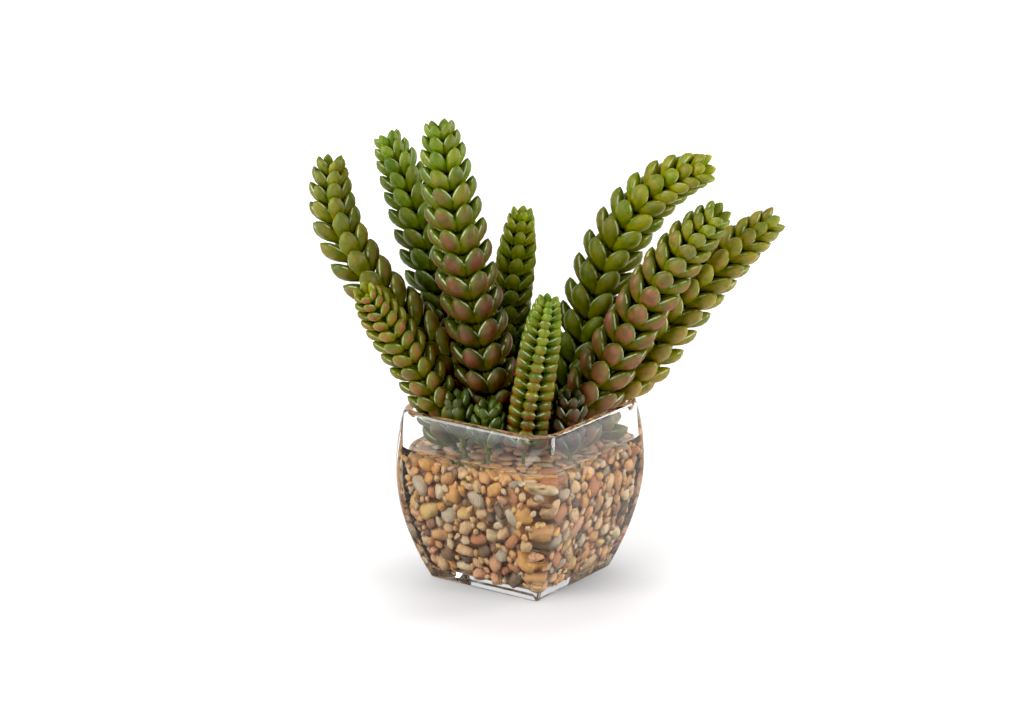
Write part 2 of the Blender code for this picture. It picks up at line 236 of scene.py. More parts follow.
def next_ring(shape, ring, spots, slot=0):
    """Extrudes the ring's open edges to new spots, and gives the new faces a material slot."""
    edges = [shape.edges.get((a, b)) for a, b in zip(ring, ring[1:] + ring[:1])]
    made = bmesh.ops.extrude_edge_only(shape, edges=edges)["geom"]
    by_place = {tuple(item.co): item for item in made if isinstance(item, bmesh.types.BMVert)}
    raised = [by_place[tuple(vert.co)] for vert in ring]
    for vert, spot in zip(raised, spots):
        vert.co = spot
    for item in made:
        if isinstance(item, bmesh.types.BMFace):
            item.material_index = slot
    return raised


def finished(name, shape, finishes, sharp=40):
    """Turns a bmesh into a piece: normals out, smooth shading, its finishes, riding on the only body."""
    bmesh.ops.recalc_face_normals(shape, faces=shape.faces[:])
    mesh = bpy.data.meshes.new(name)
    shape.to_mesh(mesh)
    shape.free()
    for finish in finishes:
        mesh.materials.append(finish)
    mesh.shade_smooth()
    mesh.set_sharp_from_angle(angle=math.radians(sharp))
    piece = bpy.data.objects.new(name, mesh)
    bpy.context.scene.collection.objects.link(piece)
    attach(piece, "root")
    print(name, len(mesh.polygons), "faces")
    return piece


# %% [markdown]
# ## Glass and resin
#
# Glass and casting resin bend light almost equally, so where they touch nothing shows between them. A render
# has to be told so. The pot's inner wall below the resin, and the resin's sides, get a plain clear finish
# that light crosses unbent, and the glass finish is kept for every face that meets air.
#
# Light that reaches the pebbles has passed through glass first. To keep the inside free of grain, the glass
# lets shadow rays through, and bent light is left out of the indirect paths.
#
# Plain glass would mirror the bright floor and lay a veil over the stones. The sides and the resin therefore
# give back only half of it, as if seen through a polarising filter. The rim gives back all, for its glints.

# %% Glass finishes
RESIN_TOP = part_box("clear_resin")[1][2] / MM


def glass_finish(name, colour, ior, reflection):
    """Clear, smooth glass or resin. The reflection is a share of what plain glass of this kind gives back."""
    finish, tree, shader = new_finish(name)
    shader.inputs["Base Color"].default_value = (*colour, 1)
    shader.inputs["Roughness"].default_value = 0.0
    shader.inputs["IOR"].default_value = ior
    shader.inputs["Transmission Weight"].default_value = 1.0
    shader.inputs["Specular Tint"].default_value = (reflection, reflection, reflection, 1)
    clear = add_node(tree, "ShaderNodeBsdfTransparent", [("Color", (*colour, 1))])
    ray = add_node(tree, "ShaderNodeLightPath")
    blend = add_node(tree, "ShaderNodeMixShader", [(0, ray.outputs["Is Shadow Ray"])])
    tree.links.new(shader.outputs[0], blend.inputs[1])
    tree.links.new(clear.outputs[0], blend.inputs[2])
    tree.links.new(blend.outputs[0], tree.nodes["Material Output"].inputs["Surface"])
    return finish


def wetted_finish():
    finish, tree, shader = new_finish("wetted joint")
    tree.nodes.remove(shader)
    clear = add_node(tree, "ShaderNodeBsdfTransparent")
    tree.links.new(clear.outputs[0], tree.nodes["Material Output"].inputs["Surface"])
    return finish


clear_glass = glass_finish("clear glass", (0.985, 0.995, 0.99), 1.5, 0.5)
rim_glass = glass_finish("rim glass", (0.985, 0.995, 0.99), 1.5, 1.0)
clear_resin = glass_finish("clear resin", (0.98, 0.99, 0.975), 1.49, 0.5)
wetted = wetted_finish()
bpy.context.scene.cycles.caustics_refractive = False

# %% [markdown]
# ## The pot
#
# Pressed glass has a heavy foot, soft edges and a rolled rim. One wall runs from the foot up the outside,
# over the rim and down the inside to the floor. The ring levels sit closer together where the profile turns.
# The lowest one is just above the chamfer, so that the shading of the flat foot stays flat.

# %% Model the pot
SIDE_LEVELS = [1.1, 2.5, 6, 10, 15, 20, 25, 30, 35, 40, 45, 50, 55, 60, 65, 70, 75, 80, 84]
LIP_TURNS = 8
SHOULDER = 0.9
SHOULDER_FROM = 74.0
CHAMFER_SHARES = (0.3, 0.7, 1.0)
UNDERSIDE_STEP = 0.6  # from the chamfer's foot in to the flat underside's edge
FLOOR_CURVE = ((2.0, 0.3), (0.8, 1.0), (0.0, 2.6), (0.0, 3.4))  # rise above the floor, inset past the wall
CURVE_TOP = 3.0  # the wall is plain from this far above the floor
MENISCUS = 0.9  # the resin's climb at the glass


def shoulder(z):
    """How far the outside draws in under the rim, which turns its face up a little towards the light."""
    return SHOULDER * max((z - SHOULDER_FROM) / (POT_HEIGHT - SHOULDER_FROM), 0) ** 2


def lip_rings():
    """Rings of the rolled rim: a half-ellipse over the top of the wall."""
    outer = shoulder(POT_HEIGHT - LIP)
    rings = []
    for step in range(LIP_TURNS + 1):
        angle = math.pi * step / LIP_TURNS
        inset = outer + (WALL - outer) / 2 * (1 - math.cos(angle))
        height = POT_HEIGHT - LIP + LIP * math.sin(angle)
        rings.append(square_ring(POT_HEIGHT - LIP, inset, height))
    return rings


def make_pot():
    shape = bmesh.new()
    ring = first_ring(shape, square_ring(0, FOOT_CHAMFER + UNDERSIDE_STEP))
    shape.faces.new(ring[::-1])
    ring = next_ring(shape, ring, square_ring(0, FOOT_CHAMFER))
    for share in CHAMFER_SHARES:
        inset = FOOT_CHAMFER * (1 - math.sin(share * math.pi / 2))
        height = FOOT_CHAMFER * (1 - math.cos(share * math.pi / 2))
        ring = next_ring(shape, ring, square_ring(height, inset))
    for level in SIDE_LEVELS:
        ring = next_ring(shape, ring, square_ring(level, shoulder(level)))
    for spots in lip_rings():
        ring = next_ring(shape, ring, spots, slot=2)
    above = [level for level in SIDE_LEVELS if level > RESIN_TOP + 2]
    for level in reversed(above):
        ring = next_ring(shape, ring, square_ring(level, WALL))
    ring = next_ring(shape, ring, square_ring(RESIN_TOP + MENISCUS, WALL))
    below = [level for level in SIDE_LEVELS if FLOOR + CURVE_TOP < level < RESIN_TOP]
    for level in reversed(below):
        ring = next_ring(shape, ring, square_ring(level, WALL), slot=1)
    for rise, inset in FLOOR_CURVE:
        ring = next_ring(shape, ring, square_ring(FLOOR + rise, WALL + inset), slot=1)
    floor = shape.faces.new(ring)
    floor.material_index = 1
    pot = finished("square_glass_pot", shape, [clear_glass, wetted, rim_glass])
    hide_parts("glass_pot")


make_pot()

# %% [markdown]
# ## The resin
#
# The resin fills the pot between the pebbles up to a level surface that climbs a little at the glass. Its top
# has the resin finish. Its sides and underside lie in the glass's hollow and take the plain clear finish.

# %% Model the resin
SKIN = 0.05  # the hair between two meshes that stand for one surface
CLIMB = ((0.4, 0.5), (0.9, 0.25), (1.6, 0.08), (2.6, 0.0), (8.0, 0.0))  # way in, and share of the climb there


def make_resin():
    shape = bmesh.new()
    high, low, corner, _ = FLOOR_CURVE
    ring = first_ring(shape, square_ring(FLOOR, WALL + corner[1] + SKIN, FLOOR + SKIN))
    under = shape.faces.new(ring[::-1])
    under.material_index = 1
    for rise, inset in (low, high):
        spots = square_ring(FLOOR + rise, WALL + inset + SKIN)
        ring = next_ring(shape, ring, spots, slot=1)
    for level in SIDE_LEVELS:
        if FLOOR + CURVE_TOP < level < RESIN_TOP:
            ring = next_ring(shape, ring, square_ring(level, WALL + SKIN), slot=1)
    ring = next_ring(shape, ring, square_ring(RESIN_TOP + MENISCUS, WALL + SKIN), slot=1)
    for inset, climb in CLIMB:
        spots = square_ring(RESIN_TOP, WALL + SKIN + inset, RESIN_TOP + MENISCUS * climb)
        ring = next_ring(shape, ring, spots)
    shape.faces.new(ring)
    resin = finished("resin_fill", shape, [clear_resin, wetted])
    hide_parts("clear_resin")


make_resin()

# %% [markdown]
# ## The pebbles
#
# River gravel is a mix of sizes and stones. We fill the pot as a hand would: the large pebbles first, then
# smaller ones where there is still room. Each pebble is tested as three balls in a row along its longest
# axis, which follows its oval shape well. Only a shell of pebbles shows, so the middle is one plain block.

# %% Drop the pebbles
PEBBLE_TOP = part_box("pebble_bed")[1][2] / MM
draw = np.random.default_rng(11)
SIZES = ((5.0, 60), (4.2, 320), (3.5, 1000), (2.9, 1900), (2.3, 3000), (1.7, 4200))  # radius, tries
TOP_SIZES = ((4.8, 60), (4.0, 200), (3.2, 500), (2.5, 900), (1.9, 900))
FRONT_DEPTH = 0.72  # how far in a pebble's centre is from the glass, in radii
BACK_DEPTH = 2.1  # the same for the layer behind
PACKING = 0.84  # how close two balls may come, of the sum of their radii
CORNER_GAP = 3.5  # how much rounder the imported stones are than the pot, so that its corners stay clear
FACE_TILT = 0.35  # how freely a pebble's flat face turns away from the glass
FACE_LIFT = 0.25  # how much the flat faces look upwards LIFT_BELOW under the belly
LIFT_BELOW = 40
BALL_SIZE = 0.82  # radius of the balls that stand for a pebble, as a share of the pebble's
BALL_INSET = 0.8  # how far the outer balls' centres stay from the pebble's ends, in pebble radii


def inside_half(z):
    return outer_half(z) - WALL


def side_spot(radius, depth):
    """A random place against one of the four glass sides, its centre depth radii in, with the way out."""
    z = draw.uniform(FLOOR + radius * 0.8, PEBBLE_TOP - radius * 0.5)
    reach = inside_half(z) - depth * radius - 0.25
    along = draw.uniform(-reach, reach)
    side = draw.integers(4)
    corner = corner_radius(z) + CORNER_GAP
    over = abs(along) - (reach - corner)
    if over > 0:
        reach = reach - corner + math.sqrt(max(corner**2 - over**2, 0))
    out = Vector((1, 0, FACE_LIFT * (z - BELLY_HEIGHT) / -LIFT_BELOW))
    turn = Matrix.Rotation(math.radians(90) * int(side), 3, "Z")
    return turn @ Vector((reach, along, z)), turn @ out.normalized()


def top_spot(radius):
    reach = inside_half(PEBBLE_TOP) - radius - 0.3
    x, y = draw.uniform(-reach, reach, 2)
    return Vector((x, y, PEBBLE_TOP - radius * draw.uniform(0.2, 0.7))), Vector((0, 0, 1))


def pebble_axes(out):
    """Long, middle and short axis: the flat face looks roughly out through the glass."""
    tilt = Vector(draw.normal(0, FACE_TILT, 3))
    short = (out + tilt).normalized()
    long = short.cross(Vector(draw.normal(0, 1, 3))).normalized()
    return long, short.cross(long), short


def drop_pebbles(pick, sizes, taken):
    """Places pebbles where there is room. Returns (centre, axes, half sizes) for each."""
    kept = []
    for radius, tries in sizes:
        for _ in range(tries):
            size = radius * draw.uniform(0.88, 1.12)
            centre, out = pick(size)
            axes = pebble_axes(out)
            stretch = draw.uniform(1.05, 1.5)
            row = np.array([centre + axes[0] * (size * (stretch - BALL_INSET) * k) for k in (-1, 0, 1)])
            balls = np.column_stack((row, np.full(3, size * BALL_SIZE)))
            if taken:
                near = np.concatenate(taken)
                apart = np.linalg.norm(near[:, None, :3] - balls[None, :, :3], axis=2)
                if (apart < PACKING * (near[:, None, 3] + balls[None, :, 3])).any():
                    continue
            taken.append(balls)
            halves = (size * stretch, size * 0.9, size * draw.uniform(0.6, 0.8))
            kept.append((centre, axes, halves))
    return kept


STONES = (
    ("tan", (0.78, 0.61, 0.42), 20),
    ("beige", (0.86, 0.74, 0.58), 17),
    ("cream", (0.95, 0.88, 0.74), 10),
    ("peach", (0.87, 0.68, 0.54), 13),
    ("ochre", (0.84, 0.64, 0.38), 13),
    ("rust", (0.64, 0.43, 0.31), 5),
    ("grey", (0.64, 0.61, 0.55), 9),
    ("brown", (0.50, 0.38, 0.29), 8),
    ("dark", (0.34, 0.29, 0.25), 4),
    ("yellow", (0.92, 0.79, 0.52), 7),
)
WARMTH = (1.66, 1.55, 1.38)  # the glass and the resin take some light, so the paint is lighter and warmer
BRIGHTEST = 0.9  # the most of any light that a stone gives back


def stone_colours(count):
    weights = np.array([weight for _, _, weight in STONES], float)
    picks = draw.choice(len(STONES), count, p=weights / weights.sum())
    colours = np.array([linear(STONES[pick][1]) for pick in picks])
    colours = colours * WARMTH * draw.uniform(0.75, 1.3, (count, 1))
    return colours / np.maximum(colours.max(axis=1, keepdims=True) / BRIGHTEST, 1)


def add_pebble(shape, spot, layers, colour, number):
    """One pebble: a ball of few faces, squeezed to three half sizes and knocked out of true."""
    centre, axes, halves = spot
    ball = bmesh.ops.create_icosphere(shape, subdivisions=2, radius=1.0)["verts"]
    turn = Matrix((axes[0], axes[1], axes[2])).transposed()
    seed = Vector((number * 1.7, number * 0.9, number * 0.4))
    for vert in ball:
        away = Vector(vert.co)
        lump = 1 + 0.38 * noise.noise(away * 0.9 + seed) + 0.28 * noise.noise(away * 2.0 - seed)
        away = away * lump
        squeezed = Vector((away.x * halves[0], away.y * halves[1], away.z * halves[2]))
        vert.co = (Vector(centre) + turn @ squeezed) * MM
        vert[layers[0]] = (*colour, 1)
        vert[layers[1]] = number % 97 / 97


def make_gravel(name, spots, replaced):
    shape = bmesh.new()
    layers = (
        shape.verts.layers.float_color.new("stone_colour"),
        shape.verts.layers.float.new("stone_number"),
    )
    for number, (spot, colour) in enumerate(zip(spots, stone_colours(len(spots)))):
        add_pebble(shape, spot, layers, colour, number)
    gravel = finished(name, shape, [river_stone], sharp=180)
    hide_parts(*replaced)


# %% [markdown]
# The stones' finish takes each pebble's own colour from an attribute, then adds what river stones show close
# up: cloudy patches, thin veins and fine speckles. Under resin a stone looks wet, with hardly any gloss.


# %% Stone finish
def stone_finish():
    finish, tree, shader = new_finish("river stone")
    own = add_node(tree, "ShaderNodeAttribute", attribute_name="stone_colour").outputs["Color"]
    number = add_node(tree, "ShaderNodeAttribute", attribute_name="stone_number").outputs["Fac"]
    patches = step_up(tree, object_noise(tree, 320, 3), 0.35, 0.7)
    colour = mixed(tree, times(tree, patches, 0.35), own, linear((0.80, 0.62, 0.42)))
    place = add_node(tree, "ShaderNodeTexCoord").outputs["Object"]
    bands = add_node(
        tree, "ShaderNodeTexWave", [("Vector", place), ("Scale", 260), ("Distortion", 9), ("Detail", 2)]
    )
    thin = step_up(tree, bands.outputs["Fac"], 0.75, 1.0)
    on_some = step_up(tree, number, 0.55, 0.75, 0.5)
    colour = mixed(tree, times(tree, thin, on_some), colour, linear((0.58, 0.36, 0.20)))
    speckles = step_up(tree, object_noise(tree, 2200, 1), 0.58, 0.72, 0.45)
    colour = mixed(tree, speckles, colour, linear((0.36, 0.26, 0.18)))
    tree.links.new(colour, shader.inputs["Base Color"])
    shader.inputs["Roughness"].default_value = 0.45
    shader.inputs["Specular IOR Level"].default_value = 0.15
    height = object_noise(tree, 900, 3)
    bump = add_node(tree, "ShaderNodeBump", [("Height", height), ("Strength", 0.45), ("Distance", 0.0006)])
    tree.links.new(bump.outputs["Normal"], shader.inputs["Normal"])
    return finish


river_stone = stone_finish()

taken = []
top_spots = drop_pebbles(top_spot, TOP_SIZES, taken)
wall_spots = drop_pebbles(lambda radius: side_spot(radius, FRONT_DEPTH), SIZES, taken)
back_spots = drop_pebbles(lambda radius: side_spot(radius, BACK_DEPTH), SIZES[1:5], taken)
print("pebbles:", len(top_spots), len(wall_spots), len(back_spots))

loose = [f"pebble_{number:02d}" for number in range(1, 13)]
make_gravel("gravel_top", top_spots, loose)
make_gravel("gravel_sides", wall_spots, ["pebble_bed"])
make_gravel("gravel_behind", back_spots, ["pebble_bed"])

# %% [markdown]
# Behind two layers of stones nothing can be told apart any more, so one block in mottled stone colours closes
# the view through the pot. It is a stack of rings like the resin, a stone's width inside it. Its foot spreads
# out nearly to the glass, where small gaps between the lowest stones would let the floor show.


# %% Fill the middle
CORE_INSET = WALL + 8.0
CORE_LEVELS = (12, 20, 30, 40, 50, PEBBLE_TOP - 6)


def make_core():
    shape = bmesh.new()
    ring = first_ring(shape, square_ring(FLOOR, WALL + 3.2, FLOOR + 0.3))
    shape.faces.new(ring[::-1])
    ring = next_ring(shape, ring, square_ring(FLOOR + 2, WALL + 2.4))
    for level in CORE_LEVELS:
        ring = next_ring(shape, ring, square_ring(level, CORE_INSET))
    shape.faces.new(ring)
    core = finished("packed_middle", shape, [packed_stones])
    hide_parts("pebble_bed")


def packed_finish():
    finish, tree, shader = new_finish("packed stones")
    mottle = step_up(tree, object_noise(tree, 240, 3), 0.35, 0.65)
    colour = mixed(tree, mottle, linear((0.56, 0.41, 0.27)), linear((0.86, 0.67, 0.46)))
    tree.links.new(colour, shader.inputs["Base Color"])
    shader.inputs["Roughness"].default_value = 0.7
    return finish


packed_stones = packed_finish()
make_core()

# %% [markdown]
# ## The stems
#
# Nine long stems and four short fillers stand in the resin. Each one is a row in a table: where its foot
# stands, which way it heads, how far it leans at its foot, middle and tip, and its length. The construction
# model was grown from the same table, so stems made from it fall exactly into their places.

# %% Stem table
FOOT_Z = 66.0  # the height at which every route starts
SLEEVE_RADIUS = 2.9
SLEEVE_TIP_RADIUS = 1.3
LEAVES_FROM = 74.0
COLUMNS = 6
WHORL_SPACING = 11.8
TIP_CROWDING = 6.3  # how much closer the whorls stand at the tip


@dataclass(frozen=True)
class Branch:
    """One stem. Angles are degrees: heading from +X, leans from upright at its foot, middle and tip."""

    name: str
    foot: tuple
    heading: float
    leans: tuple
    length: float
    veer: float = 0.0
    size: float = 1.0
    pitch: float = 1.0
    splay: tuple = (72.0, 26.0)
    twist: float = 0.25
    phase: float = 0.0
    short: bool = False


BRANCHES = (
    Branch("front_lime", (20, -24), -6, (3, 10, 12), 88, 1, 0.62, 0.74, (88.0, 62.0), 0.2, 51),
    Branch("front_left", (-17, -28), 196, (20, 31, 41), 103, 75, 0.85, phase=29),
    Branch("centre_tall", (-4, -13), 226, (7, 11.2, 8), 167.5, 0, 1.08, twist=0.05, phase=34),
    Branch("right_middle", (22, -4), 53, (36, 29, 46), 150, -48, 1.06, phase=44),
    Branch("left_tall", (-24, -6), 258, (-2, 43.5, -7), 166, -86, 1.03, phase=57),
    Branch("right_tall", (7, 10), 81, (40, 18, 74), 170, -72, 1.12, twist=0.1, phase=21),
    Branch("right_outer", (17, 20), 41, (46, 36, 55), 151, -8, 1.04, phase=25),
    Branch("back_short", (-9, 16), 167, (30, -3, -8), 116.5, 18, 0.84, twist=0.1, phase=54),
    Branch("back_left", (-23, 7), 210, (28, 16, 29), 158.5, -28, 1.0, twist=0.1, phase=33),
    Branch("filler_left", (-10, -32), 250, (6, 10, 14), 31, 0, 1.0, short=True),
    Branch("filler_middle", (5, -33), 290, (4, 8, 10), 29, 0, 0.95, short=True, phase=30),
    Branch("filler_right", (34, -9), 330, (2, 6, 10), 33, 0, 1.0, short=True, phase=15),
    Branch("filler_rim", (-31, -22), 205, (8, 22, 34), 27, 0, 0.9, short=True, phase=20),
)

# %% [markdown]
# A stem's route is found by walking along it in steps of a millimetre, leaning a little more or less at each
# one. A side vector is carried along, so that we always know which way a leaf should point.


# %% Follow a stem's route
class Stem:
    """A branch's route: centre, direction and two side vectors at any distance along it."""

    def __init__(self, branch):
        self.branch = branch
        self.s = np.linspace(0, branch.length, int(branch.length) + 1)
        share = self.s / branch.length
        at_foot, at_middle, at_tip = branch.leans
        from_foot = at_foot * (1 - share) * (1 - 2 * share)
        from_middle = at_middle * 4 * share * (1 - share)
        from_tip = at_tip * share * (2 * share - 1)
        lean = np.radians(from_foot + from_middle + from_tip)
        heading = np.radians(branch.heading + branch.veer * share)
        self.axis = np.column_stack(
            (np.sin(lean) * np.cos(heading), np.sin(lean) * np.sin(heading), np.cos(lean))
        )
        moves = (self.axis[1:] + self.axis[:-1]) / 2 * np.diff(self.s)[:, None]
        self.centre = np.vstack(([0, 0, 0], np.cumsum(moves, axis=0))) + (*branch.foot, FOOT_Z)
        self.side = self._carried_side()

    def _carried_side(self):
        sides = []
        side = np.array([1.0, 0.0, 0.0])
        for axis in self.axis:
            side = side - axis * (side @ axis)
            side = side / np.linalg.norm(side)
            sides.append(side)
        return np.array(sides)

    def frame(self, s):
        """(centre, axis, side, other side) at distance s."""
        centre = np.array([np.interp(s, self.s, column) for column in self.centre.T])
        axis = np.array([np.interp(s, self.s, column) for column in self.axis.T])
        side = np.array([np.interp(s, self.s, column) for column in self.side.T])
        axis = axis / np.linalg.norm(axis)
        side = side - axis * (side @ axis)
        side = side / np.linalg.norm(side)
        return centre, axis, side, np.cross(axis, side)

    def outward(self, s, column):
        """Unit vector out of the stem through the middle of a leaf column."""
        _, _, side, other = self.frame(s)
        angle = math.radians(360 / COLUMNS * column + self.branch.twist * s + self.branch.phase)
        return math.cos(angle) * side + math.sin(angle) * other

    def where_z(self, z):
        return float(self.s[np.argmax(self.centre[:, 2] >= z)])

    def whorls(self):
        """Distances of the leaf whorls along the route, lowest first. They crowd together at the tip."""
        size = self.branch.size
        places = []
        below_tip = 1.6 * size
        while self.branch.length - below_tip > self.where_z(LEAVES_FROM):
            places.append(self.branch.length - below_tip)
            spacing = WHORL_SPACING - TIP_CROWDING * math.exp(-below_tip / (28 * size))
            below_tip += spacing * size * self.branch.pitch
        return places[::-1]

    def sleeve_radius(self, s):
        below_tip = self.branch.length - s
        return SLEEVE_TIP_RADIUS + (SLEEVE_RADIUS - SLEEVE_TIP_RADIUS) * (1 - math.exp(-below_tip / 8))


stems = [Stem(branch) for branch in BRANCHES]
print("whorls of leaves:", sum(len(stem.whorls()) for stem in stems))

# %% [markdown]
# ## Where each leaf sits
#
# A leaf leaves its stem steeply outwards and then turns up towards the tip. The leaves at a tip are short,
# narrow and upright, and the older ones below are long and open. Where two stems crowd each other, a leaf is
# lifted or made smaller until it fits, just as soft leaves push one another aside.


# %% Settle the leaves
LEAF_LENGTH = 15.8
TIP_SHORTENING = 7.5  # how much shorter the leaves are at the tip
SQUEEZES = ((1, 1), (1, 0.65), (0.85, 0.65), (0.85, 0.4), (0.7, 0.5), (0.55, 0.45))  # (shrink, lift) in turn
LEAF_GAP = 0.3  # room left between a leaf and what it has to clear


class Leaf:
    """A curved leaf: its middle line runs from root to tip, drawn towards the bend."""

    def __init__(self, stem, s, column, shrink, lift):
        branch = stem.branch
        below_tip = branch.length - s
        centre, axis, _, _ = stem.frame(s)
        out = stem.outward(s, column)
        opened = 1 - math.exp(-below_tip / (20 * branch.size))
        first = math.radians(branch.splay[0] * (0.72 + 0.28 * opened) * lift)
        last = math.radians(branch.splay[1] * (0.5 + 0.5 * opened) * lift)
        growth = math.exp(-below_tip / (24 * branch.size))
        self.length = (LEAF_LENGTH - TIP_SHORTENING * growth) * branch.size * shrink
        self.root = centre + out * stem.sleeve_radius(s) * math.cos(math.pi / COLUMNS)
        self.bend = self.root + (out * math.sin(first) + axis * math.cos(first)) * self.length / 2
        self.tip = self.bend + (out * math.sin(last) + axis * math.cos(last)) * self.length / 2
        self.across = np.cross(axis, out)
        self.height = s / branch.length

    def point(self, t):
        return (1 - t) ** 2 * self.root + 2 * t * (1 - t) * self.bend + t * t * self.tip

    def balls(self):
        """Centres and radii of four balls in a row that stand for the leaf when room is tested."""
        spots = np.array([self.point(t) for t in (0.3, 0.55, 0.8, 1.0)])
        return spots, 0.57 * self.length * np.array([0.34, 0.45, 0.32, 0.06])


def distance_to_wall(points):
    """Distance from each point to the glass wall, 0 inside the glass."""
    gaps = np.empty(len(points))
    for index, (x, y, z) in enumerate(points):
        level = min(z, POT_HEIGHT)
        half, radius = outer_half(level), corner_radius(level)
        over_x = max(abs(x) - half + radius, 0)
        over_y = max(abs(y) - half + radius, 0)
        outside = math.hypot(over_x, over_y) - radius
        if over_x == 0 and over_y == 0:
            outside = max(abs(x), abs(y)) - half
        sideways = max(outside, -WALL - outside, 0)
        gaps[index] = math.hypot(sideways, max(z - POT_HEIGHT, 0))
    return gaps


def settled_leaves():
    """For each stem, its leaves by (whorl, column)."""
    sleeve = [(owner, stem.frame(s)[0]) for owner, stem in enumerate(stems)
              for s in np.arange(0, stem.branch.length, 2.0)]
    spots = np.array([spot for _, spot in sleeve])
    radii = np.full(len(sleeve), SLEEVE_RADIUS)
    owners = np.array([owner for owner, _ in sleeve])
    everything = []
    for owner, stem in enumerate(stems):
        kept = {}
        for whorl, s in enumerate(stem.whorls()):
            for column in range(COLUMNS):
                for shrink, lift in SQUEEZES:
                    leaf = Leaf(stem, s, column, shrink, lift)
                    centres, sizes = leaf.balls()
                    if (centres[:, 2] - sizes < RESIN_TOP + LEAF_GAP).any():
                        continue
                    if (distance_to_wall(centres) < sizes + LEAF_GAP).any():
                        continue
                    others = owners != owner
                    apart = np.linalg.norm(centres[:, None] - spots[others][None], axis=2)
                    if (apart < sizes[:, None] + radii[others][None] + LEAF_GAP).any():
                        continue
                    kept[whorl, column] = leaf
                    spots = np.vstack((spots, centres))
                    radii = np.concatenate((radii, sizes))
                    owners = np.concatenate((owners, np.full(len(sizes), owner)))
                    break
        everything.append(kept)
    return everything


leaves_of = settled_leaves()
print("leaves:", sum(len(kept) for kept in leaves_of))

# %% [markdown]
# ## The master leaf
#
# Every leaf is the same plump spindle: narrow at its foot, widest about the middle, and drawn to a point,
# with a flatter inner face and a keel near the point. One mould made them all, so we model one leaf with few
# faces and bend a copy into each place. The master starts as a circle, extruded level by level.
#
# The master also carries what its finish needs to know: how far along the leaf a spot is, how near its edge,
# where the moulded seam and a painted highlight run, and whether it is on the outer face.

# %% Model the master leaf
LEAF_LEVELS = (  # share of the leaf's length, and of its full width there
    (0.0, 0.46), (0.14, 0.64), (0.30, 0.86), (0.47, 1.0),
    (0.64, 0.98), (0.79, 0.77), (0.91, 0.43), (1.0, 0.04),
)
OUTER_TURNS = (180, 210, 240, 270, 300, 330)
INNER_TURNS = (0, 45, 90, 135)


def section_spot(turn, level, width):
    """A spot of the leaf's section: x across, y towards the inner face, both of half a leaf's size."""
    x, y = math.cos(turn), math.sin(turn)
    y *= 0.86 if y > 0 else 1.14
    y *= 1 - 0.16 * abs(x) ** 3
    near_tip = max(level - 0.5, 0) * 2
    if abs(x) < 0.1 and y < 0:
        y *= 1 + 0.16 * near_tip
    if abs(x) < 0.1 and y > 0:
        y *= 1 - 0.10 * near_tip
    return x * width, y * width


def master_leaf():
    shape = bmesh.new()
    place = shape.verts.layers.float_color.new("leaf_place")
    turns = [math.radians(turn) for turn in INNER_TURNS + OUTER_TURNS]
    ring = None
    for level, width in LEAF_LEVELS:
        spots = [Vector((*section_spot(turn, level, width), level)) for turn in turns]
        if ring:
            ring = next_ring(shape, ring, spots)
        else:
            ring = first_ring(shape, spots)
            shape.faces.new(ring[::-1])
        for vert, turn in zip(ring, turns):
            vert[place] = (level, abs(math.cos(turn)), 0.5 - 0.5 * math.sin(turn), 1)
    bmesh.ops.collapse(shape, edges=shape.faces.new(ring).edges[:])
    point = max(shape.verts, key=lambda vert: vert.co.z)
    point[place] = (1.0, 0.6, 0.5, 1)
    point.co = (0, -0.05, 1.0)
    bmesh.ops.recalc_face_normals(shape, faces=shape.faces[:])
    mesh = bpy.data.meshes.new("master_leaf")
    shape.to_mesh(mesh)
    shape.free()
    print("master leaf:", len(mesh.polygons), "faces")
    return mesh


leaf_mould = master_leaf()
